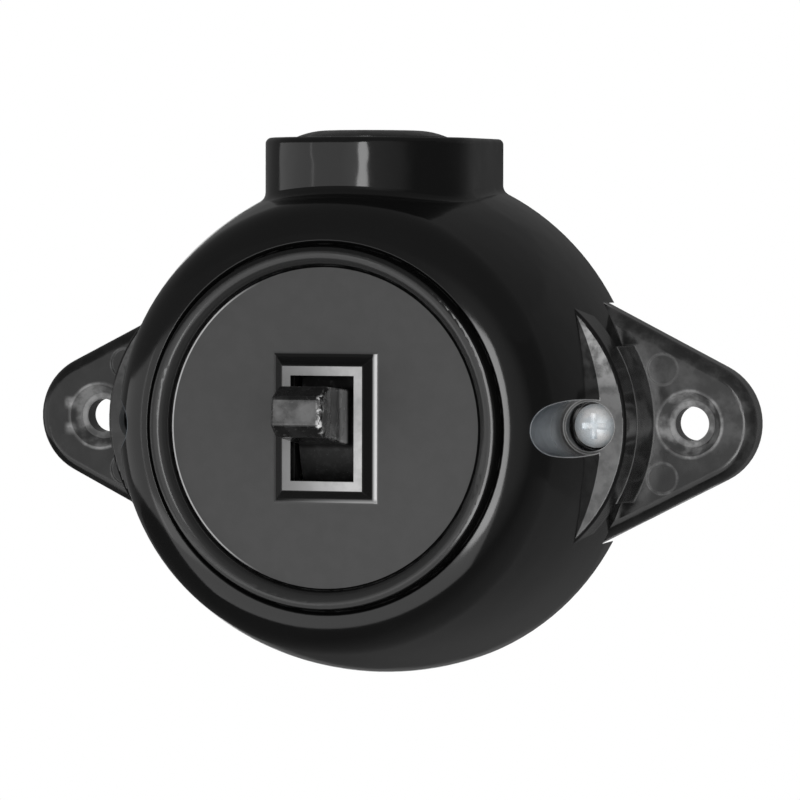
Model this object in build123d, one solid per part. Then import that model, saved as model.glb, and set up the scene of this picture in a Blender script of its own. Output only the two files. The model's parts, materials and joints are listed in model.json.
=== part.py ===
from build123d import *
import math
import os

# Round surface toggle switch, in millimetres. The wall is the plane y = 0, the front is -Y, up is +Z.
# A "depth" is a distance in front of the wall, so depth d lies at y = -d.

# Cover: turned dome with a raised face disc inside a bead
cover_radius = 34.85
shoulder_start = (30.5, 29.0)     # radius, depth
shoulder_end = (24.83, 33.7)
groove_bottom = (24.4, 32.8)
bead_edge = (24.0, 34.95)
bead_crest = (23.2, 35.1)
bead_inside = (21.75, 33.65)
face_gap = (21.6, 33.1)           # fine groove between bead and face disc
ring_edge_round = 0.2
face_radius = 21.3
face_depth = 33.5
cover_wall = 2.7
cavity_shoulder = (27.6, 25.6)
cavity_face = (21.4, 28.4)

# Window and its raised frame in the face disc
window_x = 0.25                   # the moulded window sits a little right of the axis
window_width = 8.8
window_height = 14.0
frame_base_width = 14.0
frame_base_height = 19.4
frame_rise = 1.5
frame_slope = 42.0                # degrees from the pressing direction
frame_foot_round = 0.9
frame_edge_round = 0.25

# Entry hub on top of the cover, and the grommet in it
hub_radius = 14.5
hub_depth = 12.6                  # depth of the entry axis
hub_wall_half_width = 14.95
hub_top = 38.7
hub_edge_round = 0.8
hub_blend = 1.4
entry_bore_radius = 9.3
entry_bore_floor = 22.0
grommet_flange_radius = 10.2
grommet_flange_height = 1.0
grommet_rim_height = 0.15
grommet_crown_start = 6.0         # radius where the top begins to round down
grommet_neck_radius = 9.2
grommet_neck_length = 6.0
grommet_skin = 2.2
grommet_wall = 1.8
cable_radius = 4.5

# Screw lugs of the cover and the plinths of the base that they rest on
lug_axis_x = 16.05
lug_radius = 20.9                 # at the back
lug_draft = 1.0                   # degrees
lug_back = 11.0
lug_front = 16.5
lug_edge_round = 0.5
cover_screw_x = 31.9
pocket_radius = 3.75              # driver's way through the dome
well_radius = 3.35                # round the cover screw's head, below the ledge
pocket_floor = 12.6
pocket_wall = 1.7
plinth_radius = 22.0              # at the wall
plinth_draft = 5.3
plinth_root_x = 26.0
plinth_half_height = 10.6
neck_half_height = 6.5            # of the part that passes through the cover's skirt
skirt_gap = 0.3                   # between the skirt and the crescent of the plinth outside it

# Base with mounting ears
base_radius = 31.4
base_thickness = 4.0
base_rim_depth = 6.5
base_rim_width = 2.4
rim_gap_width = 19.0
ear_span = 103.4
ear_tip_radius = 8.6
ear_half_angle = 27.0             # degrees
ear_root_x = 22.0
ear_thickness = 4.6
ear_edge_round = 1.7
mount_hole_x = 42.6
mount_hole_radius = 2.35
mount_recess_radius = 4.35
mount_recess_floor = 3.2          # radius where the dished recess meets the step round the hole
mount_recess = 1.6
pin_mark_x = 38.8
pin_mark_z = 7.4
pin_mark_radius = 2.1
pin_mark_recess = 0.2
notch_gap = 0.35                  # room between the base and the cover's notches

# Lever, pivot and bridge
pivot_depth = 19.0
lever_rest_angle = 6.0            # degrees above the middle position
lever_reach = 26.2                # pivot to tip
lever_root_reach = 12.4
lever_root_half_height = 3.75
lever_tip_half_height = 3.35
lever_half_width = 3.5
lever_upper_bevel = (2.6, 1.6)    # along the lever, down the tip
lever_lower_bevel = (2.0, 1.3)
lever_bevel_round = 0.7
lever_side_round = 0.4
lever_foot_round = 0.7
drum_radius = 13.4
drum_wall = 2.0
drum_half_angle = 40.0
drum_half_width = 3.85
lever_hub_radius = 3.4
lever_hub_half_width = 5.3
tail_half_height = 2.7
tail_half_width = 3.4
tail_reach = 6.6
pin_radius = 1.5
pin_half_length = 7.5
pin_play = 0.08
cheek_inner = 5.6
sheet_thickness = 1.2
cheek_round = 3.3
cheek_foot_half_height = 4.6
bridge_half_height = 15.8
bridge_window_width = 9.2
bridge_window_height = 13.0
bridge_screw_z = 13.0

# Plunger and spring in the lever's tail
plunger_bore_radius = 1.9
plunger_bore_top = 2.2            # from the pivot axis
plunger_radius = 1.8
plunger_reach = 8.75
plunger_dome = 1.1
plunger_back = 5.8
spring_radius = 1.35
spring_wire_radius = 0.22
spring_pitch = 0.9

# Insulating block and contacts
block_width = 40.0
block_height = 32.0
block_corner = 3.0
block_back = base_thickness
block_front = 13.0
floor_depth = 5.6                 # bottom of the block's wells
strip_thickness = 0.8
strip_half_width = 2.0
strip_play = 0.2
slot_half_width = 5.2
slot_half_height = 10.5
clamp_x = 14.0
clamp_z = 8.0
clamp_size = 7.6
well_play = 0.4
wire_slot_width = 5.0
wire_hole_radius = 1.5
wire_hole_depth = 9.0
block_screw_z = -9.0
block_screw_seat = 9.0
block_screw_head_well = 3.1

# Rocker
rocker_depth = 9.2
rocker_length = 18.0
rocker_width = 4.8
rocker_thickness = 1.6
rocker_rest_angle = 6.0           # degrees, opposite to the lever
trunnion_radius = 0.9
trunnion_half_length = 4.4
trunnion_play = 0.06
trunnion_shoulder = (1.4, 3.0)    # radius, half length
cradle_inner = 3.2
cradle_front = 10.4
cradle_half_height = 1.8
contact_z = 7.6
rivet_head_radius = 1.3
rivet_head = 0.45
rivet_shank_radius = 0.8

# Screws: head radius, head height, shank radius
cover_screw = (2.95, 2.2, 1.75)
block_screw = (2.8, 1.7, 1.5)
bridge_screw = (2.4, 1.5, 1.25)
clamp_screw = (2.4, 1.6, 1.25)
cover_screw_length = 9.0
block_screw_length = 8.0
bridge_screw_length = 7.5
clamp_screw_length = 3.4
thread_play = 0.04
shank_play = 0.2                  # screw shanks in through holes
rivet_play = 0.02
insert_radius = 2.65
insert_bottom = 1.5

profile_plane = Plane((0, 0, 0), x_dir=(1, 0, 0), z_dir=(0, 0, -1))   # local x radius, local y depth
side_plane = Plane((0, 0, 0), x_dir=(0, -1, 0), z_dir=(-1, 0, 0))     # local x depth, local y height
lever_axis = Axis((0, -pivot_depth, 0), (1, 0, 0))
rocker_axis = Axis((0, -rocker_depth, 0), (1, 0, 0))


def slab(outline, depth_from, depth_to, taper=0.0):
    """Extrude an outline drawn in front view between two depths."""
    sketch = Plane.XZ.offset(depth_from) * outline
    return extrude(sketch, amount=depth_to - depth_from, dir=(0, -1, 0), taper=taper)


def turned(profile, x=0.0, z=0.0):
    """Turn a radius-depth profile about an axis that runs from front to back."""
    return Pos(x, 0, z) * revolve(profile_plane * profile, axis=Axis.Y)


def peg(radius, depth_from, depth_to, x=0.0, z=0.0):
    """Round peg or hole that runs from front to back."""
    return slab(Pos(x, z) * Circle(radius), depth_from, depth_to)


def cross_bar(radius, half_length, depth):
    """Round bar along X at a depth."""
    return extrude(side_plane * Pos(depth, 0) * Circle(radius), amount=half_length, both=True)


def box_outline(x_from, x_to, z_from, z_to):
    """Rectangle in front view from its limits."""
    width, height = x_to - x_from, z_to - z_from
    return Pos((x_from + x_to) / 2, (z_from + z_to) / 2) * Rectangle(width, height)


def both_sides(solid):
    """A solid and its mirror image left of the middle."""
    return solid + mirror(solid, Plane.YZ)


def screw(sizes, seat, length, x, z, recess):
    """Pan-head screw with its head in front of the seat depth, and a driver recess."""
    head_radius, head_height, shank_radius = sizes
    top = seat + head_height
    rim = seat + 0.4 * head_height
    point = seat - length
    crown = TangentArc((0, top), (head_radius, rim), tangent=(1, 0))
    sides = Polyline((0, top), (0, point), (0.6 * shank_radius, point), (shank_radius, point + 0.6),
                     (shank_radius, seat), (head_radius, seat), (head_radius, rim))
    blank = turned(make_face([crown, *sides.edges()]), x, z)
    for bar in recess:
        blank -= slab(Pos(x, z) * bar, top - 0.6 * head_height, top + 0.1)
    return blank


def cross_recess(head_radius):
    """Outlines of the two bars of a cross recess."""
    bar = Rectangle(1.15 * head_radius, 0.3 * head_radius)
    return [bar, Rot(0, 0, 90) * bar]


def slot_recess(head_radius):
    """Outline of a single driver slot."""
    return [Rectangle(2.2 * head_radius, 0.32 * head_radius)]


# Cover

def dome():
    """Outer form of the cover: drum-like side, round shoulder, groove, bead and face disc."""
    side = TangentArc((cover_radius, 0), shoulder_start, tangent=(0, 1))
    shoulder = TangentArc(shoulder_start, shoulder_end, tangent=side % 1)
    groove = Polyline(shoulder_end, groove_bottom, bead_edge)
    bead_outer = TangentArc(bead_crest, bead_edge, tangent=(1, 0))
    bead_inner = TangentArc(bead_crest, bead_inside, tangent=(-1, 0))
    rest = Polyline(bead_inside, face_gap, (face_radius, face_depth), (0, face_depth), (0, 0),
                    (cover_radius, 0))
    profile = make_face([side, shoulder, *groove.edges(), bead_outer, bead_inner, *rest.edges()])
    rims = [profile.vertices().sort_by_distance((*point, 0))[0] for point in (shoulder_end, bead_edge)]
    return turned(fillet(rims, ring_edge_round))


def dome_cavity():
    back_radius = cover_radius - cover_wall
    roof = face_depth - cover_wall
    side = TangentArc((back_radius, 0), cavity_shoulder, tangent=(0, 1))
    shoulder = TangentArc(cavity_shoulder, cavity_face, tangent=side % 1)
    rest = Polyline(cavity_face, (cavity_face[0] - 1.0, roof), (0, roof), (0, 0), (back_radius, 0))
    return turned(make_face([side, shoulder, *rest.edges()]))


def entry_hub():
    """Upright boss with a half-round front and nearly straight sides that run back to the wall."""
    front = ThreePointArc((-hub_radius, -hub_depth), (0, -hub_depth - hub_radius), (hub_radius, -hub_depth))
    sides = Polyline((hub_radius, -hub_depth), (hub_wall_half_width, 0), (-hub_wall_half_width, 0),
                     (-hub_radius, -hub_depth))
    outline = make_face([front, *sides.edges()])
    boss = extrude(Pos(0, 0, entry_bore_floor) * outline, amount=hub_top - entry_bore_floor)
    rim = boss.faces().sort_by(Axis.Z)[-1].edges().filter_by(lambda edge: edge.center().Y < -0.1)
    return fillet(rim, hub_edge_round)


def screw_lug():
    """Drafted cylinder set off to the right, which leaves a crescent ledge outside the dome."""
    lug = slab(Pos(lug_axis_x, 0) * Circle(lug_radius), lug_back, lug_front, lug_draft)
    return fillet(lug.edges().sort_by(Axis.Y)[0], lug_edge_round)


def window_frame():
    outline = Pos(window_x, 0) * Rectangle(frame_base_width, frame_base_height)
    raised = slab(outline, face_depth, face_depth + frame_rise, frame_slope)
    raised = fillet(raised.faces().sort_by(Axis.Y)[0].edges(), frame_edge_round)
    return raised + slab(outline, face_depth - 0.5, face_depth)


def front_cover():
    hub = entry_hub()
    round_body = dome()
    body = round_body + hub
    body = fillet(new_edges(round_body, hub, combined=body), hub_blend)
    body += window_frame()
    straight = body.edges().filter_by(GeomType.LINE)
    foot = straight.filter_by_position(Axis.Y, -face_depth - 0.01, -face_depth + 0.01)
    body = fillet(foot, frame_foot_round)
    body += both_sides(screw_lug())
    body -= both_sides(peg(pocket_radius, lug_front, face_depth + 1, cover_screw_x))
    body -= both_sides(peg(well_radius, pocket_floor, lug_front + 1, cover_screw_x))
    body -= both_sides(peg(cover_screw[2] + shank_play, 0, pocket_floor + 1, cover_screw_x))
    body -= dome_cavity() - both_sides(peg(pocket_radius + pocket_wall, lug_back, face_depth, cover_screw_x))
    body -= Pos(0, -hub_depth, entry_bore_floor) * extrude(Circle(entry_bore_radius), amount=hub_top)
    window = Pos(window_x, 0) * Rectangle(window_width, window_height)
    body -= slab(window, face_depth - 2 * cover_wall, face_depth + 2 * frame_rise)
    body -= both_sides(slab(ear_outline(notch_gap), -1, ear_thickness + notch_gap))
    body -= both_sides(slab(plinth_neck(notch_gap), -1, lug_back))
    return body


def entry_grommet():
    """Soft crowned collar in the entry bore, with a cable hole in its top skin."""
    top = hub_top + grommet_flange_height
    bottom = hub_top - grommet_neck_length
    inner = grommet_neck_radius - grommet_wall
    rim = (grommet_flange_radius, hub_top + grommet_rim_height)
    crown = TangentArc((grommet_crown_start, top), rim, tangent=(1, 0))
    rest = Polyline(rim, (grommet_flange_radius, hub_top), (grommet_neck_radius, hub_top),
                    (grommet_neck_radius, bottom), (inner, bottom), (inner, top - grommet_skin),
                    (cable_radius, top - grommet_skin), (cable_radius, top), (grommet_crown_start, top))
    profile = make_face([crown, *rest.edges()])
    return Pos(0, -hub_depth, 0) * revolve(Plane.XZ * profile, axis=Axis.Z)


# Base

def ear_outline(grow=0.0):
    """Rounded triangle to the right, from inside the base to the ear's tip."""
    angle = math.radians(ear_half_angle)
    radius = ear_tip_radius + grow
    centre = ear_span / 2 - ear_tip_radius
    touch_x = centre + radius * math.sin(angle)
    touch_z = radius * math.cos(angle)
    root_z = touch_z + (touch_x - ear_root_x) * math.tan(angle)
    tip = ThreePointArc((touch_x, touch_z), (centre + radius, 0), (touch_x, -touch_z))
    sides = Polyline((touch_x, -touch_z), (ear_root_x, -root_z), (ear_root_x, root_z), (touch_x, touch_z))
    return make_face([tip, *sides.edges()])


def plinth_neck(grow=0.0):
    """Part of a plinth that passes through the cover's skirt and carries the threaded insert."""
    half_height = neck_half_height + grow
    return box_outline(plinth_root_x, cover_radius + 2 * skirt_gap, -half_height, half_height)


def base_plinth():
    """Raised pad under a cover lug: a neck through the skirt and a crescent outside it."""
    crescent = slab(Pos(lug_axis_x, 0) * Circle(plinth_radius), 0, lug_back, plinth_draft)
    limits = box_outline(plinth_root_x, ear_span, -plinth_half_height, plinth_half_height)
    crescent &= slab(limits, 0, lug_front)
    crescent -= peg(cover_radius + skirt_gap, -1, lug_back + 1)
    return crescent + slab(plinth_neck(), 0, lug_back)


def base_ear():
    ear = slab(ear_outline(), 0, ear_thickness)
    front_edges = ear.faces().sort_by(Axis.Y)[0].edges()
    return fillet(front_edges.filter_by(lambda edge: edge.center().X > ear_root_x + 1), ear_edge_round)


def base_rim():
    ring = Circle(base_radius - 0.6) - Circle(base_radius - 0.6 - base_rim_width)
    gap = box_outline(-rim_gap_width / 2, rim_gap_width / 2, 0, base_radius)
    return slab(ring - gap, base_thickness - 0.5, base_rim_depth)


def mounting_hole():
    """Through hole with a dished recess for the screw head."""
    floor = ear_thickness - mount_recess
    dish = Polygon((0, -1), (mount_hole_radius, -1), (mount_hole_radius, floor), (mount_recess_floor, floor),
                   (mount_recess_radius, ear_thickness), (mount_recess_radius, ear_thickness + 1),
                   (0, ear_thickness + 1), align=None)
    return turned(dish, mount_hole_x)


def back_base():
    body = peg(base_radius, 0, base_thickness) + base_rim()
    body += both_sides(base_ear() + base_plinth())
    right_cuts = mounting_hole()
    right_cuts += peg(insert_radius + thread_play, insert_bottom, lug_back + 1, cover_screw_x)
    right_cuts += peg(block_screw[2] + thread_play, 0.8, base_thickness + 1, clamp_x, block_screw_z)
    for mark_z in (-pin_mark_z, pin_mark_z):
        mark = peg(pin_mark_radius, ear_thickness - pin_mark_recess, ear_thickness + 0.5, pin_mark_x, mark_z)
        right_cuts += mark - base_plinth()
    return body - both_sides(right_cuts)


def cover_insert(x):
    """Threaded brass bush with a waist that locks it in the moulding."""
    bore = cover_screw[2] + thread_play
    waist = insert_radius - 0.4
    middle = (insert_bottom + lug_back) / 2
    profile = Polygon((bore, insert_bottom), (insert_radius, insert_bottom), (insert_radius, middle - 1),
                      (waist, middle - 0.6), (waist, middle + 0.6), (insert_radius, middle + 1),
                      (insert_radius, lug_back - 0.1), (bore, lug_back - 0.1), align=None)
    return turned(profile, x)


# Lever, drawn in its middle position and then tilted up to rest

def at_rest(solid):
    return solid.rotate(lever_axis, -lever_rest_angle)


def lever_blade():
    """Finger lever with bevels above and below the tip and soft edges all round."""
    root, tip = pivot_depth + lever_root_reach, pivot_depth + lever_reach
    upper_run, upper_drop = lever_upper_bevel
    lower_run, lower_drop = lever_lower_bevel
    half = lever_tip_half_height
    side = Polygon((root, -lever_root_half_height), (tip - lower_run, -half), (tip, lower_drop - half),
                   (tip, half - upper_drop), (tip - upper_run, half), (root, lever_root_half_height),
                   align=None)
    side = fillet(side.vertices().filter_by(lambda corner: corner.X > root + 1), lever_bevel_round)
    blade = extrude(side_plane * side, amount=lever_half_width, both=True)
    flanks = blade.faces().filter_by(Axis.X).edges()
    return fillet(flanks.filter_by(lambda edge: edge.center().Y < -root - 0.1), lever_side_round)


def lever_drum():
    """Curved shield behind the window, a ring segment about the pivot."""
    reach = 2 * drum_radius
    half = math.radians(drum_half_angle)
    wedge = Polygon((0, 0), (reach * math.cos(half), reach * math.sin(half)),
                    (reach * math.cos(half), -reach * math.sin(half)), align=None)
    ring = (Circle(drum_radius) - Circle(drum_radius - drum_wall)) & wedge
    return extrude(side_plane * Pos(pivot_depth, 0) * ring, amount=drum_half_width, both=True)


def toggle_lever():
    blade, drum = lever_blade(), lever_drum()
    body = blade + drum
    drum_front = 1.0 - pivot_depth - drum_radius
    foot = new_edges(blade, drum, combined=body).filter_by(lambda edge: edge.center().Y < drum_front)
    body = fillet(foot, lever_foot_round)
    body += cross_bar(lever_hub_radius, lever_hub_half_width, pivot_depth)
    body += slab(Rectangle(2 * tail_half_width, 2 * tail_half_height), pivot_depth - tail_reach, pivot_depth)
    web = Rectangle(2 * tail_half_width, 2 * tail_half_height)
    body += slab(web, pivot_depth, pivot_depth + lever_root_reach)
    body -= cross_bar(pin_radius + pin_play, lever_hub_half_width + 1, pivot_depth)
    body -= peg(plunger_bore_radius, pivot_depth - tail_reach - 1, pivot_depth - plunger_bore_top)
    return at_rest(body)


def plunger():
    """Round-nosed pin that leaves the tail towards the rocker."""
    nose, back = pivot_depth - plunger_reach, pivot_depth - plunger_back
    rim = nose + plunger_dome
    middle = (0.7 * plunger_radius, nose + 0.3 * plunger_dome)
    dome_arc = ThreePointArc((0, nose), middle, (plunger_radius, rim))
    rest = Polyline((plunger_radius, rim), (plunger_radius, back), (0, back), (0, nose))
    return at_rest(turned(make_face([dome_arc, *rest.edges()])))


def lever_spring():
    """Compression spring between the plunger and the end of the bore."""
    back = pivot_depth - plunger_back + spring_wire_radius
    front = pivot_depth - plunger_bore_top - spring_wire_radius
    path = Helix(pitch=spring_pitch, height=front - back, radius=spring_radius, center=(0, -back, 0),
                 direction=(0, -1, 0))
    section = Plane(path @ 0, z_dir=path % 0) * Circle(spring_wire_radius)
    return at_rest(sweep(section, path=path))


def pivot_pin():
    return chamfer(cross_bar(pin_radius, pin_half_length, pivot_depth).edges(), 0.3)


def bridge_cheek():
    """Upright side of the bridge with a round end about the pivot."""
    foot = block_front + sheet_thickness / 2
    sides = Polygon((foot, cheek_foot_half_height), (pivot_depth, cheek_round), (pivot_depth, -cheek_round),
                    (foot, -cheek_foot_half_height), align=None)
    outline = sides + Pos(pivot_depth, 0) * Circle(cheek_round)
    outline -= Pos(pivot_depth, 0) * Circle(pin_radius + thread_play)
    return Pos(cheek_inner, 0, 0) * extrude(side_plane * outline, amount=sheet_thickness, dir=(1, 0, 0))


def bridge_frame():
    """Sheet bracket: a plate on the block with a window for the lever's tail, and two cheeks bent forward."""
    half_width = cheek_inner + sheet_thickness
    plate = RectangleRounded(2 * half_width, 2 * bridge_half_height, 2)
    plate -= Rectangle(bridge_window_width, bridge_window_height)
    for side in (-1, 1):
        plate -= Pos(0, side * bridge_screw_z) * Circle(bridge_screw[2] + shank_play)
    return slab(plate, block_front, block_front + sheet_thickness) + both_sides(bridge_cheek())


# Insulating block, contacts and terminals

def clamp_well(side):
    reach = clamp_size / 2 + well_play
    x = side * clamp_x
    well = box_outline(x - reach, x + reach, clamp_z - reach, clamp_z + reach)
    return well + box_outline(x - wire_slot_width / 2, x + wire_slot_width / 2, clamp_z, block_height / 2 + 1)


def line_strip(grow=0.0):
    """L-shaped strip outline: from the cradle to the left terminal."""
    half = strip_half_width + grow
    across = box_outline(-clamp_x - half, cradle_inner + strip_thickness + grow, -half, half)
    return across + box_outline(-clamp_x - half, -clamp_x + half, -half, clamp_z + half)


def load_strip(grow=0.0):
    """Straight strip outline: from under the rocker to the right terminal."""
    half = strip_half_width + grow
    return box_outline(-strip_half_width, clamp_x + half, clamp_z - half, clamp_z + half)


def switch_insert():
    body = slab(RectangleRounded(block_width, block_height, block_corner), block_back, block_front)
    wells = Rectangle(2 * slot_half_width, 2 * slot_half_height)
    wells += line_strip(strip_play) + load_strip(strip_play) + clamp_well(-1) + clamp_well(1)
    body -= slab(wells, floor_depth, block_front + 1)
    for side in (-1, 1):
        body -= peg(block_screw[2] + shank_play, 0, block_front, side * clamp_x, block_screw_z)
        body -= peg(block_screw_head_well, block_screw_seat, block_front + 1, side * clamp_x, block_screw_z)
        hole = bridge_screw[2] + thread_play
        body -= peg(hole, block_front - bridge_screw_length, block_front + 1, 0, side * bridge_screw_z)
    return body


def line_contact():
    """Brass strip with two cradle cheeks that hold the rocker's trunnions."""
    body = slab(line_strip(), floor_depth, floor_depth + strip_thickness)
    cheek = box_outline(cradle_inner, cradle_inner + strip_thickness, -cradle_half_height, cradle_half_height)
    body += both_sides(slab(cheek, floor_depth, cradle_front))
    return body - cross_bar(trunnion_radius + trunnion_play, slot_half_width, rocker_depth)


def load_contact():
    strip = slab(load_strip(), floor_depth, floor_depth + strip_thickness)
    return strip - peg(rivet_shank_radius + rivet_play, 0, block_front, 0, contact_z)


def fixed_contact_rivet():
    top = floor_depth + strip_thickness
    shank = peg(rivet_shank_radius, floor_depth, top, 0, contact_z)
    return shank + peg(rivet_head_radius, top, top + rivet_head, 0, contact_z)


def tilted(solid):
    return solid.rotate(rocker_axis, rocker_rest_angle)


def rocker():
    """Tilting contact bar on two trunnions."""
    back, front = rocker_depth - rocker_thickness / 2, rocker_depth + rocker_thickness / 2
    body = slab(Rot(0, 0, 90) * SlotOverall(rocker_length, rocker_width), back, front)
    body += cross_bar(trunnion_radius, trunnion_half_length, rocker_depth)
    body += cross_bar(trunnion_shoulder[0], trunnion_shoulder[1], rocker_depth) - slab(
        Rectangle(rocker_width, rocker_width), front, front + 1)
    return tilted(body - peg(rivet_shank_radius + rivet_play, 0, block_front, 0, contact_z))


def moving_contact_rivet():
    back, front = rocker_depth - rocker_thickness / 2, rocker_depth + rocker_thickness / 2
    body = peg(rivet_head_radius, back - rivet_head, back, 0, contact_z)
    body += peg(rivet_shank_radius, back, front, 0, contact_z) + peg(1.1, front, front + 0.3, 0, contact_z)
    return tilted(body)


def clamp(side):
    """Pillar terminal: block with an upright wire hole and a screw hole from the front."""
    half = clamp_size / 2
    x = side * clamp_x
    block = slab(box_outline(x - half, x + half, clamp_z - half, clamp_z + half),
                 floor_depth + strip_thickness, block_front)
    block = chamfer(block.faces().sort_by(Axis.Y)[0].edges(), 0.4)
    wire_hole = Pos(x, -wire_hole_depth, clamp_z) * Cylinder(wire_hole_radius, 2 * clamp_size)
    return block - wire_hole - peg(clamp_screw[2] + thread_play, wire_hole_depth, block_front + 1, x, clamp_z)


def all_parts():
    parts = {
        "front_cover": front_cover(),
        "back_base": back_base(),
        "entry_grommet": entry_grommet(),
        "toggle_lever": toggle_lever(),
        "plunger": plunger(),
        "lever_spring": lever_spring(),
        "pivot_pin": pivot_pin(),
        "bridge_frame": bridge_frame(),
        "switch_insert": switch_insert(),
        "rocker": rocker(),
        "moving_contact_rivet": moving_contact_rivet(),
        "fixed_contact_rivet": fixed_contact_rivet(),
        "line_contact": line_contact(),
        "load_contact": load_contact(),
    }
    cross = cross_recess(cover_screw[0])
    slot = slot_recess(clamp_screw[0])
    for side, name in ((-1, "left"), (1, "right")):
        x = side * clamp_x
        cover_x = side * cover_screw_x
        parts[f"cover_insert_{name}"] = cover_insert(cover_x)
        parts[f"cover_screw_{name}"] = screw(cover_screw, pocket_floor, cover_screw_length, cover_x, 0, cross)
        parts[f"insert_screw_{name}"] = screw(block_screw, block_screw_seat, block_screw_length, x,
                                              block_screw_z, slot)
    for side, name in ((-1, "lower"), (1, "upper")):
        seat = block_front + sheet_thickness
        parts[f"bridge_screw_{name}"] = screw(bridge_screw, seat, bridge_screw_length, 0,
                                              side * bridge_screw_z, slot)
    for side, name in ((-1, "line"), (1, "load")):
        parts[f"{name}_clamp"] = clamp(side)
        parts[f"{name}_clamp_screw"] = screw(clamp_screw, block_front, clamp_screw_length, side * clamp_x,
                                             clamp_z, slot)
    return parts


os.makedirs("parts", exist_ok=True)
for node, solid in all_parts().items():
    export_step(solid, f"parts/{node}.step")
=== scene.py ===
import json
import math

import bpy
from mathutils import Matrix, Vector

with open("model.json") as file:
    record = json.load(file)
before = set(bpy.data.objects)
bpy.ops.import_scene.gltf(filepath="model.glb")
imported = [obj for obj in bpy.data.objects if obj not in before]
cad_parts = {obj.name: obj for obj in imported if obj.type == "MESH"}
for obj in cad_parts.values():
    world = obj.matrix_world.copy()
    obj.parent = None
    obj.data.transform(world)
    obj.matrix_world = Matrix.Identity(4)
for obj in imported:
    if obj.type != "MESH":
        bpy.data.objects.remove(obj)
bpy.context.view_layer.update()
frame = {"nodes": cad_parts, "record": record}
nodes = frame["nodes"]
scene = bpy.context.scene

# Places on the part in metres: a depth is counted from the wall, the rest from the middle of the dome
DISC_RADIUS = 0.0213
BEAD_RADIUS = 0.0226
FACE_DEPTH = 0.0335
FRAME_DEPTH = 0.035
FRAME_RIGHT = 0.007
FRAME_LOW = -0.0097
LEDGE_PLACE = 0.026
LEDGE_DEPTH = 0.0165
SCREW_PLACE = 0.0319
POCKET_RADIUS = 0.00375
HUB_HEIGHT = 0.033
HUB_DEPTH = 0.03
EAR_DEPTH = 0.0046
HOLE_PLACE = 0.0426
DISH_RADIUS = 0.0045
DISH_DEPTH = 0.0027
MARK_PLACE, MARK_HEIGHT, MARK_RADIUS = 0.0388, 0.0074, 0.0021
# Where the two painted highlight patches sit on the left ear
HIGHLIGHT_PATCH_PLACE, HIGHLIGHT_PATCH_HEIGHT = 0.0469, 0.0018
LEVER_SIDE = 0.0033
LEVER_ROOT = 0.0358
LEVER_TIP = 0.0445

# Studio in metres: the floor, the ring of cards with its opening, and where the lamps point
FLOOR_SIZE, FLOOR_HEIGHT, FLOOR_GLOW = 3.5, -0.62, 0.6
CARD_RADIUS = 1.9
CARD_LEVELS = (-0.6, -0.32, 0.19, 1.0)
CARD_STEPS = 72
OPENING_ROW, OPENING_STEPS = 1, (38, 39, 40)
KEY_DIRECTION = (0.423, -0.906, 0.0)
LAMP_TARGET = Vector((0, -0.02, 0))
WORLD_LIGHT, WORLD_SEEN = 0.3, 1.0

# Camera fitted to the photo: its axes before the roll, where it stands, and its lens
CAMERA_BACK = Vector((0.29896, -0.95343, 0.03989))
CAMERA_RIGHT = Vector((0.95419, 0.2992, 0.0))
CAMERA_UP = Vector((-0.01194, 0.03806, 0.9992))
CAMERA_ROLL = math.radians(0.117)
CAMERA_TARGET = Vector((0, -0.002, 0))
CAMERA_DISTANCE = 0.701866
CAMERA_SENSOR, CAMERA_LENS = 36.0, 228.28
CAMERA_SHIFT = (0.006494, 0.0241)
CAMERA_CLIP = 0.01


# Node helpers

def new_material(name):
    material = bpy.data.materials.new(name)
    material.use_nodes = True
    material.node_tree.nodes.clear()
    return material, material.node_tree


def add(tree, kind, inputs=None, **settings):
    """A node with its settings and inputs; an input is a constant or another node's socket."""
    node = tree.nodes.new(kind)
    for key, value in settings.items():
        setattr(node, key, value)
    for key, value in (inputs or {}).items():
        if isinstance(value, bpy.types.NodeSocket):
            tree.links.new(value, node.inputs[key])
        else:
            node.inputs[key].default_value = value
    return node


def math_node(tree, operation, one, two=0.0):
    return add(tree, "ShaderNodeMath", {0: one, 1: two}, operation=operation).outputs[0]


def product(tree, first, *others):
    for other in others:
        first = math_node(tree, "MULTIPLY", first, other)
    return first


def dot(tree, one, two):
    return add(tree, "ShaderNodeVectorMath", {0: one, 1: two}, operation="DOT_PRODUCT").outputs["Value"]


def span(tree, value, low, high, out_low=0.0, out_high=1.0):
    """Smooth step from out_low to out_high as the value runs from low to high."""
    node = add(tree, "ShaderNodeMapRange", {"Value": value, "From Min": low, "From Max": high,
                                            "To Min": out_low, "To Max": out_high},
               interpolation_type="SMOOTHSTEP")
    return node.outputs["Result"]


def below(tree, value, low, high):
    """One up to the low value, fading to nought at the high one."""
    return span(tree, value, low, high, 1.0, 0.0)


def band(tree, value, middle, half_width, soft):
    """One inside a band of values, with soft edges."""
    off = math_node(tree, "ABSOLUTE", math_node(tree, "SUBTRACT", value, middle))
    return below(tree, off, half_width, half_width + soft)


def noise(tree, place, scale, detail=3.0, roughness=0.5):
    node = add(tree, "ShaderNodeTexNoise", {"Vector": place, "Scale": scale, "Detail": detail,
                                            "Roughness": roughness})
    return node.outputs["Fac"]


def mottle(tree, place, scale, low, high, detail=4.0, roughness=0.6):
    """Noise drawn apart into patches of nought and one."""
    return span(tree, noise(tree, place, scale, detail, roughness), low, high)


def mix_value(tree, factor, one, two):
    return add(tree, "ShaderNodeMix", {0: factor, 2: one, 3: two}, data_type="FLOAT").outputs[0]


def mix_colour(tree, factor, one, two):
    return add(tree, "ShaderNodeMix", {0: factor, 6: one, 7: two}, data_type="RGBA").outputs[2]


def layered(tree, mix, ground, layers):
    """A ground with layers laid over it in turn, each through its mask."""
    for mask, layer in layers:
        ground = mix(tree, mask, ground, layer)
    return ground


def grey(level, warmth=0.0):
    return (level * (1 + warmth), level, level * (1 - warmth), 1.0)


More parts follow.
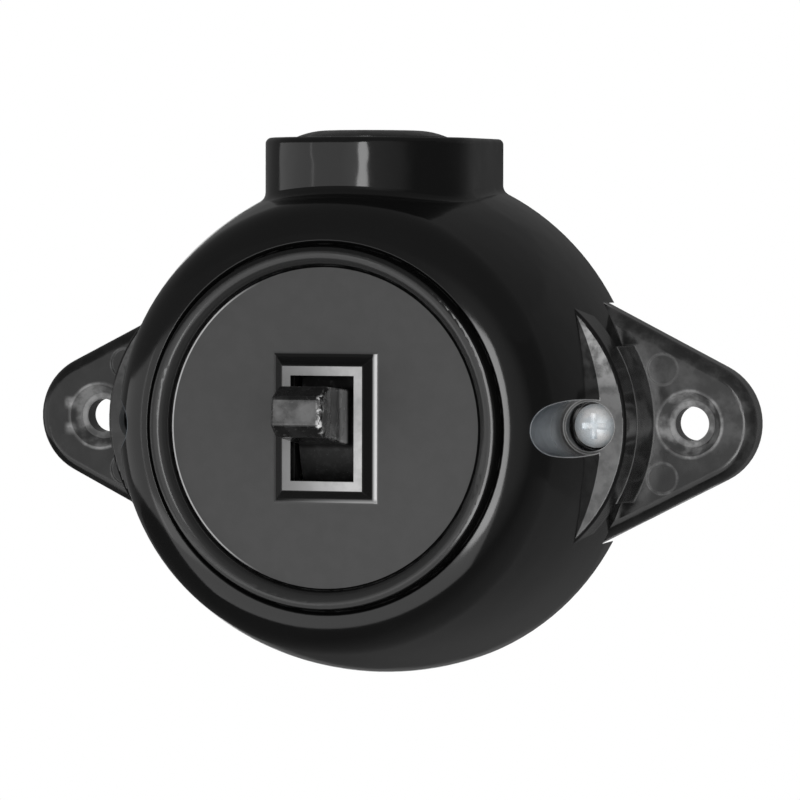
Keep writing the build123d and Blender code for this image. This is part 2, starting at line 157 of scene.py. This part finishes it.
def greys(tree, factor, one, two):
    return mix_colour(tree, factor, grey(one), grey(two))


def place_of(tree):
    return add(tree, "ShaderNodeTexCoord").outputs["Object"]


def coordinates(tree, place):
    """Distance to the right of the middle plane, depth in front of the wall, and height, in metres."""
    axes = add(tree, "ShaderNodeSeparateXYZ", {0: place}).outputs
    return axes[0], math_node(tree, "MULTIPLY", axes[1], -1.0), axes[2]


def distance(tree, one, one_middle, two, two_middle=0.0):
    """Distance in a plane from a point given by two middles."""
    first = math_node(tree, "SUBTRACT", one, one_middle)
    second = math_node(tree, "SUBTRACT", two, two_middle)
    square = math_node(tree, "ADD", product(tree, first, first), product(tree, second, second))
    return math_node(tree, "SQRT", square)


def front_facing(tree):
    """One where the surface faces straight to the front."""
    normal = add(tree, "ShaderNodeTexCoord").outputs["Normal"]
    inward = add(tree, "ShaderNodeSeparateXYZ", {0: normal}).outputs[1]
    return below(tree, inward, -0.995, -0.97)


def sharp_edges(tree, radius, low, high):
    """One along sharp edges: where the normal differs from its average over the radius."""
    smooth = add(tree, "ShaderNodeBevel", {"Radius": radius}, samples=6).outputs[0]
    sharp = add(tree, "ShaderNodeNewGeometry").outputs["Normal"]
    return span(tree, math_node(tree, "SUBTRACT", 1.0, dot(tree, smooth, sharp)), low, high)


def bump_node(tree, height, strength, depth):
    return add(tree, "ShaderNodeBump", {"Height": height, "Strength": strength, "Distance": depth}).outputs[0]


def glow(tree, colour, strength):
    return add(tree, "ShaderNodeEmission", {"Color": colour, "Strength": strength}).outputs[0]


def seen_or_mirrored(tree):
    """One for rays from the camera, from shiny surfaces and through glass."""
    ray = add(tree, "ShaderNodeLightPath").outputs
    seen = math_node(tree, "MAXIMUM", ray["Is Camera Ray"], ray["Is Glossy Ray"])
    return math_node(tree, "MAXIMUM", seen, ray["Is Transmission Ray"])


def set_surface(tree, shader):
    add(tree, "ShaderNodeOutputMaterial", {"Surface": shader})


def new_look(name):
    material, tree = new_material(name)
    return material, tree, place_of(tree)


def finish_look(tree, colour, roughness, bump, metallic=0.0, ior=1.55):
    shader = add(tree, "ShaderNodeBsdfPrincipled", {"Base Color": colour, "Roughness": roughness,
                                                    "Normal": bump, "Metallic": metallic, "IOR": ior})
    set_surface(tree, shader.outputs[0])


# Looks

def cover_look():
    """Glossy phenolic dome, satin face disc, window frame with a rim pale from rubbing, blue-grey pockets,
    scuffed sharp edges, and painted highlights on the frame's foot, the ledges, the right pocket's rim, the
    disc's left edge and the sharp edges, with the bead painted lighter as a sheen.
    """
    material, tree, place = new_look("cover_phenolic")
    right, depth, height = coordinates(tree, place)
    across = math_node(tree, "ABSOLUTE", right)
    radius = distance(tree, right, 0.0, height)
    screw_distance = distance(tree, across, SCREW_PLACE, height)
    flat = front_facing(tree)
    # Sharp edges: they carry scuffs and painted edge highlights
    worn_and_lit_edges = sharp_edges(tree, 0.0003, 0.03, 0.2)
    patches = mottle(tree, place, 500.0, 0.35, 0.65)

    # Face disc, a painted highlight along its left edge, and the bead round it
    face = product(tree, below(tree, radius, DISC_RADIUS - 0.00005, DISC_RADIUS + 0.00005),
                   span(tree, depth, FACE_DEPTH - 0.0004, FACE_DEPTH - 0.0001))
    disc_edge_highlight = product(tree, band(tree, radius, DISC_RADIUS - 0.00005, 0.00008, 0.0001),
                        span(tree, depth, FACE_DEPTH - 0.0002, FACE_DEPTH - 0.0001),
                        below(tree, right, -0.016, -0.008))
    # The bead is painted lighter than the dome as a painted sheen on its flanks
    bead = product(tree, band(tree, radius, BEAD_RADIUS, 0.0007, 0.0003),
                   span(tree, depth, FACE_DEPTH - 0.0002, FACE_DEPTH + 0.0001))

    # Window frame, its rim, and painted highlights along its foot, on the right and at the bottom
    frame_zone = product(tree, face, span(tree, depth, FACE_DEPTH + 0.00001, FACE_DEPTH + 0.00006))
    rim = product(tree, frame_zone, flat, span(tree, depth, FRAME_DEPTH - 0.0002, FRAME_DEPTH - 0.0001))
    foot = product(tree, frame_zone, below(tree, depth, FACE_DEPTH + 0.0003, FACE_DEPTH + 0.0006))
    right_foot_highlight = product(tree, foot, span(tree, right, FRAME_RIGHT - 0.0002, FRAME_RIGHT + 0.0002))
    low_foot_highlight = product(tree, foot, below(tree, height, FRAME_LOW, FRAME_LOW + 0.0005),
                       span(tree, right, -0.008, 0.008))

    # Painted highlights on the ledges of the lugs, fainter on the left, and the driver's pockets
    ledge_highlight = product(tree, flat, span(tree, across, LEDGE_PLACE, LEDGE_PLACE + 0.0002),
                    band(tree, depth, LEDGE_DEPTH, 0.0002, 0.0003), span(tree, right, -0.001, 0.001, 0.25, 1.0))
    pocket = product(tree, below(tree, screw_distance, POCKET_RADIUS + 0.00003, POCKET_RADIUS + 0.00015),
                     span(tree, depth, LEDGE_DEPTH + 0.0015, LEDGE_DEPTH + 0.0085))
    # Painted highlight on the right pocket's rim; the left pocket's rim stays dark
    pocket_rim_highlight = product(tree, worn_and_lit_edges, band(tree, screw_distance, POCKET_RADIUS, 0.0003, 0.0002),
                          span(tree, right, -0.001, 0.001))
    # Scuffs along sharp edges with painted edge highlights, left out at the far left
    edge_scuffs_and_highlights = product(tree, worn_and_lit_edges, patches, span(tree, right, -0.03, -0.024, 0.0, 0.35))

    rim_tone = greys(tree, span(tree, right, -0.006, 0.005), 0.15, 0.48)
    rim_tone = mix_colour(tree, product(tree, patches, 0.3), rim_tone, grey(0.2))
    # The ledges' painted highlight grows paler towards the top
    ledge_highlight_tone = greys(tree, span(tree, height, 0.003, 0.011), 0.14, 0.42)
    ledge_highlight_tone = mix_colour(tree, patches, grey(0.08), ledge_highlight_tone)
    blue = mix_colour(tree, patches, (0.055, 0.066, 0.08, 1), (0.085, 0.1, 0.117, 1))
    black = greys(tree, noise(tree, place, 90.0), 0.0035, 0.0055)
    colour = layered(tree, mix_colour, black, (
        (face, greys(tree, patches, 0.031, 0.035)), (bead, grey(0.022)), (frame_zone, grey(0.006)),
        (right_foot_highlight, grey(0.6)), (low_foot_highlight, grey(0.25)), (rim, rim_tone), (ledge_highlight, ledge_highlight_tone), (pocket, blue),
        (edge_scuffs_and_highlights, grey(0.12)), (pocket_rim_highlight, grey(0.5)), (disc_edge_highlight, grey(0.4))))
    polish = span(tree, noise(tree, place, 60.0), 0.3, 0.7, 0.09, 0.13)
    rough = layered(tree, mix_value, polish, (
        (face, 0.4), (bead, 0.2), (frame_zone, 0.13), (ledge_highlight, 0.35), (pocket, 0.32)))

    hub = product(tree, span(tree, height, HUB_HEIGHT, HUB_HEIGHT + 0.003),
                  below(tree, depth, HUB_DEPTH, HUB_DEPTH + 0.001))
    waves = mix_value(tree, hub, span(tree, depth, 0.029, 0.032, 0.2, 0.03), 0.45)
    finish_look(tree, colour, rough, bump_node(tree, noise(tree, place, 130.0, 2.0), waves, 0.0005))
    return material


def base_look():
    """Phenolic ears with scuffed fronts, screw recesses pale from rubbing and painted pale as a highlight, the
    rings left by the mould's pins painted pale as highlights on their rims, painted light and shade that makes
    the right ear lighter than the left, and painted highlights on the left ear and along the edges.
    """
    material, tree, place = new_look("base_phenolic")
    right, depth, height = coordinates(tree, place)
    across = math_node(tree, "ABSOLUTE", right)
    upright = math_node(tree, "ABSOLUTE", height)
    patches = mottle(tree, place, 260.0, 0.4, 0.66, detail=5.0)
    fine = mottle(tree, place, 700.0, 0.4, 0.6)
    # Pale lines along sharp edges: wear, with painted edge highlights
    edges = product(tree, sharp_edges(tree, 0.0006, 0.02, 0.15), 0.7)

    hole_distance = distance(tree, across, HOLE_PLACE, height)
    # Screw recesses, painted pale: rubbing by the screw heads, with a painted highlight
    dish = product(tree, below(tree, hole_distance, DISH_RADIUS, DISH_RADIUS + 0.0004),
                   span(tree, depth, DISH_DEPTH, DISH_DEPTH + 0.0002))
    mark_distance = distance(tree, across, MARK_PLACE, upright, MARK_HEIGHT)
    # Rings left by the mould's pins, painted pale as highlights on their rims
    ring = product(tree, band(tree, mark_distance, MARK_RADIUS, 0.00012, 0.00015), fine,
                   span(tree, depth, EAR_DEPTH - 0.0004, EAR_DEPTH - 0.0003),
                   below(tree, depth, EAR_DEPTH + 0.0001, EAR_DEPTH + 0.0002))
    # Two painted highlight patches beside the left ear's recess
    rubbed_and_lit_patches = product(tree, below(tree, right, -0.041, -0.04),
                     band(tree, across, HIGHLIGHT_PATCH_PLACE, 0.0001, 0.0011),
                     band(tree, upright, HIGHLIGHT_PATCH_HEIGHT, 0.0001, 0.001),
                     span(tree, depth, DISH_DEPTH - 0.0003, DISH_DEPTH),
                     span(tree, fine, 0.0, 1.0, 0.5, 1.0))

    # Painted light and shade: the right ear lighter and fading dark towards the bottom, the left ear darker
    low = span(tree, height, -0.008, 0.0, 0.9, 0.0)
    left_ear_shaded = greys(tree, patches, 0.006, 0.014)
    right_ear_lit = mix_colour(tree, low, greys(tree, patches, 0.018, 0.052), grey(0.006))
    ears = mix_colour(tree, span(tree, right, -0.01, 0.01), left_ear_shaded, right_ear_lit)
    colour = layered(tree, mix_colour, ears, (
        (dish, greys(tree, patches, 0.06, 0.3)), (rubbed_and_lit_patches, grey(0.3)), (ring, grey(0.08)), (edges, grey(0.1))))
    rough = mix_value(tree, dish, mix_value(tree, patches, 0.14, 0.26), 0.3)
    finish_look(tree, colour, rough, bump_node(tree, noise(tree, place, 140.0), 0.3, 0.0005))
    return material


def lever_look():
    """Handled lever: duller phenolic with a tip lightened by rubbing, a painted highlight at its root, chipped
    edges with a painted highlight towards the right, pale knock marks and a painted highlight along the tip's
    right edge, and a dark matt drum.
    """
    material, tree, place = new_look("lever_phenolic")
    right, depth, _ = coordinates(tree, place)
    across = math_node(tree, "ABSOLUTE", right)
    # Mottle for rubbing on the blade and tip, also used in the painted root highlight
    rubbed_and_lit_patches = mottle(tree, place, 350.0, 0.4, 0.7, roughness=0.5)
    coarse = mottle(tree, place, 900.0, 0.5, 0.62, roughness=0.7)
    chips = mottle(tree, place, 1400.0, 0.46, 0.58, roughness=0.7)
    specks = mottle(tree, place, 1500.0, 0.62, 0.72, roughness=0.7)

    blade = span(tree, depth, FACE_DEPTH, FRAME_DEPTH)
    tip = product(tree, span(tree, depth, LEVER_TIP - 0.001, LEVER_TIP), front_facing(tree))
    # Painted highlight on the fillets at the lever's root, on both sides
    root_highlight = product(tree, span(tree, across, LEVER_SIDE, LEVER_SIDE + 0.00015),
                    band(tree, depth, LEVER_ROOT, 0.001, 0.0013))
    # Chipped edges, brighter towards the right as a painted highlight
    worn_and_lit_edges = product(tree, sharp_edges(tree, 0.0008, 0.02, 0.1), chips, blade,
                   span(tree, right, -0.002, 0.003, 0.35, 1.0))
    # Pale knock marks with a painted highlight along the tip's right edge
    tip_knocks_and_highlight = product(tree, band(tree, right, LEVER_SIDE - 0.0001, 0.0002, 0.0004),
                     span(tree, depth, LEVER_TIP - 0.0007, LEVER_TIP + 0.0001), coarse)
    specks = product(tree, specks, mix_value(tree, blade, 0.45, 0.8))

    drum_tone = greys(tree, coarse, 0.002, 0.01)
    colour = mix_colour(tree, blade, drum_tone, greys(tree, rubbed_and_lit_patches, 0.006, 0.016))
    colour = layered(tree, mix_colour, colour, (
        (tip, greys(tree, rubbed_and_lit_patches, 0.05, 0.12)), (root_highlight, greys(tree, rubbed_and_lit_patches, 0.2, 0.25)),
        (specks, grey(0.12)), (worn_and_lit_edges, grey(0.55)), (tip_knocks_and_highlight, grey(0.6))))
    rough = mix_value(tree, blade, 0.7, mix_value(tree, rubbed_and_lit_patches, 0.22, 0.4))
    finish_look(tree, colour, rough, bump_node(tree, noise(tree, place, 900.0), 0.3, 0.0002))
    return material


def metal(name, colour_one, colour_two, rough_low, rough_high, metallic=1.0):
    """Plain or plated metal with fine grain and uneven polish."""
    material, tree, place = new_look(name)
    fine = noise(tree, place, 1200.0, 4.0, 0.65)
    colour = mix_colour(tree, span(tree, noise(tree, place, 450.0), 0.35, 0.65), colour_one, colour_two)
    rough = span(tree, fine, 0.3, 0.7, rough_low, rough_high)
    finish_look(tree, colour, rough, bump_node(tree, fine, 0.15, 0.00005), metallic=metallic, ior=2.0)
    return material


def dull(name, colour_one, colour_two, rough, grain, strength):
    """Rubber, fibre or unglazed ceramic with a fine grain."""
    material, tree, place = new_look(name)
    fine = noise(tree, place, grain, 5.0, 0.6)
    colour = mix_colour(tree, noise(tree, place, 120.0), colour_one, colour_two)
    rough_value = span(tree, fine, 0.3, 0.7, rough - 0.08, rough + 0.08)
    finish_look(tree, colour, rough_value, bump_node(tree, fine, strength, 0.0001), ior=1.5)
    return material


looks = {
    "cover_phenolic": cover_look(),
    "base_phenolic": base_look(),
    "lever_phenolic": lever_look(),
    "grommet_rubber": dull("grommet_rubber", grey(0.008), grey(0.014), rough=0.24, grain=900.0, strength=0.1),
    "zinc_screw": metal("zinc_screw", (0.84, 0.9, 0.94, 1), (1.0, 1.0, 1.0, 1),
                        rough_low=0.2, rough_high=0.36, metallic=0.1),
    "plain_steel": metal("plain_steel", grey(0.42), grey(0.55), rough_low=0.22, rough_high=0.4),
    "brass": metal("brass", (0.62, 0.42, 0.16, 1), (0.8, 0.6, 0.28, 1), rough_low=0.2, rough_high=0.4),
    "contact_silver": metal("contact_silver", grey(0.75, 0.02), grey(0.86, 0.02),
                            rough_low=0.15, rough_high=0.3),
    "insert_ceramic": dull("insert_ceramic", (0.68, 0.64, 0.55, 1), (0.8, 0.77, 0.7, 1),
                           rough=0.6, grain=1500.0, strength=0.2),
    "plunger_fibre": dull("plunger_fibre", (0.22, 0.09, 0.05, 1), (0.32, 0.15, 0.09, 1),
                          rough=0.55, grain=1800.0, strength=0.25),
}
for entry in frame["record"]["subparts"]:
    piece = nodes[entry["node"]]
    piece.data.materials.clear()
    piece.data.materials.append(looks[entry["material_slot"]])


# Floor, surroundings, lamps and camera

def staged_mesh(name, corners, faces):
    """A mesh of the studio, not of the part; what glows on it is seen but isn't sampled as a lamp."""
    mesh = bpy.data.meshes.new(name)
    mesh.from_pydata(corners, [], faces)
    thing = bpy.data.objects.new(name, mesh)
    scene.collection.objects.link(thing)
    material, tree = new_material(name)
    material.cycles.emission_sampling = "NONE"
    mesh.materials.append(material)
    return thing, tree


def level_square(size, height):
    """Corners and face of a level square round the part."""
    corners = [(-size, -size, height), (size, -size, height), (size, size, height), (-size, size, height)]
    return corners, [(0, 1, 2, 3)]


def make_floor():
    """Pale floor well below the wall-mounted part, that also looks pale where little light falls."""
    _, tree = staged_mesh("floor", *level_square(FLOOR_SIZE, FLOOR_HEIGHT))
    colour = greys(tree, noise(tree, place_of(tree), 6.0), 0.8, 0.84)
    matt = add(tree, "ShaderNodeBsdfDiffuse", {"Color": colour}).outputs[0]
    pale = glow(tree, colour, product(tree, seen_or_mirrored(tree), FLOOR_GLOW))
    set_surface(tree, add(tree, "ShaderNodeAddShader", {0: matt, 1: pale}).outputs[0])


def make_card(name, corners, faces, axis, near, full, level_off, level_on):
    """Grey card that only shiny surfaces mirror; its level changes towards an axis and rises by the key."""
    card, tree = staged_mesh(name, corners, faces)
    direction = add(tree, "ShaderNodeVectorMath", {0: place_of(tree)}, operation="NORMALIZE").outputs[0]
    level = span(tree, dot(tree, direction, axis), near, full, level_off, level_on)
    by_key = span(tree, dot(tree, direction, KEY_DIRECTION), 0.75, 1.0, 0.0, 0.2)
    set_surface(tree, glow(tree, grey(1.0), math_node(tree, "ADD", level, by_key)))
    card.visible_camera = False
    card.visible_diffuse = False
    card.visible_shadow = False


def ring_of_cards():
    """Corners and faces of an upright ring in rows, with an opening to the background behind the part."""
    corners, faces = [], []
    rows = len(CARD_LEVELS)
    for step in range(CARD_STEPS):
        angle = math.radians(360 * step / CARD_STEPS)
        x, y = CARD_RADIUS * math.sin(angle), -CARD_RADIUS * math.cos(angle)
        corners += [(x, y, level) for level in CARD_LEVELS]
        here, beyond = rows * step, rows * ((step + 1) % CARD_STEPS)
        for row in range(rows - 1):
            if row != OPENING_ROW or step not in OPENING_STEPS:
                faces.append((here + row, beyond + row, beyond + row + 1, here + row + 1))
    return corners, faces


def make_cards():
    make_card("side_card", *ring_of_cards(), axis=(0.985, -0.174, 0.0),
              near=0.3, full=0.95, level_off=0.14, level_on=0.06)
    make_card("roof_card", *level_square(CARD_RADIUS, CARD_LEVELS[-1]), axis=(1.0, 0.0, 0.0),
              near=0.3, full=0.9, level_off=0.12, level_on=0.1)
    make_card("low_card", *level_square(CARD_RADIUS, CARD_LEVELS[0]), axis=(0.5, 0.45, -0.74),
              near=0.4, full=0.95, level_off=0.05, level_on=0.16)


def make_world():
    """White to the eye and in reflections; a quieter grey light on matt surfaces."""
    world = bpy.data.worlds.new("room")
    world.use_nodes = True
    world.cycles.sampling_method = "NONE"
    tree = world.node_tree
    tree.nodes.clear()
    colour = greys(tree, seen_or_mirrored(tree), WORLD_LIGHT, WORLD_SEEN)
    light = add(tree, "ShaderNodeBackground", {"Color": colour, "Strength": 1.0})
    add(tree, "ShaderNodeOutputWorld", {"Surface": light.outputs[0]})
    scene.world = world


def lamp(name, azimuth, height, away, width, tall, radiance, mirrored=True):
    """Soft box that faces the part; azimuth in degrees from the front, positive to the right."""
    angle = math.radians(azimuth)
    place = Vector((away * math.sin(angle), -away * math.cos(angle), height))
    data = bpy.data.lights.new(name, "AREA")
    data.shape = "RECTANGLE"
    data.size, data.size_y = width, tall
    data.energy = radiance * math.pi * width * tall
    holder = bpy.data.objects.new(name, data)
    aim = (place - LAMP_TARGET).to_track_quat("Z", "Y")
    holder.matrix_world = Matrix.Translation(place) @ aim.to_matrix().to_4x4()
    holder.visible_glossy = mirrored
    scene.collection.objects.link(holder)


def make_camera():
    right = CAMERA_RIGHT * math.cos(CAMERA_ROLL) + CAMERA_UP * math.sin(CAMERA_ROLL)
    up = CAMERA_UP * math.cos(CAMERA_ROLL) - CAMERA_RIGHT * math.sin(CAMERA_ROLL)
    rotation = Matrix((right, up, CAMERA_BACK)).transposed()
    place = CAMERA_BACK * CAMERA_DISTANCE + CAMERA_TARGET
    data = bpy.data.cameras.new("camera")
    data.sensor_width = CAMERA_SENSOR
    data.lens = CAMERA_LENS
    data.shift_x, data.shift_y = CAMERA_SHIFT
    data.clip_start = CAMERA_CLIP
    camera = bpy.data.objects.new("camera", data)
    camera.matrix_world = Matrix.Translation(place) @ rotation.to_4x4()
    scene.collection.objects.link(camera)
    scene.camera = camera


make_floor()
make_cards()
make_world()
make_camera()
lamp("left_box", azimuth=-48, height=-0.08, away=0.9, width=2.3, tall=0.46, radiance=0.68)
lamp("seam_strip", azimuth=-48.6, height=-0.08, away=0.85, width=0.018, tall=0.42, radiance=1.6)
lamp("key_strip", azimuth=7, height=-0.05, away=0.9, width=0.16, tall=0.5, radiance=5.0)
lamp("low_box", azimuth=-18, height=-0.375, away=0.65, width=1.0, tall=0.45, radiance=1.0)
lamp("right_fill", azimuth=32, height=0.0, away=0.9, width=0.6, tall=0.6, radiance=3.5, mirrored=False)
lamp("back_fill", azimuth=190, height=0.5, away=0.8, width=0.9, tall=0.9, radiance=1.6, mirrored=False)
scene.view_settings.view_transform = "Standard"
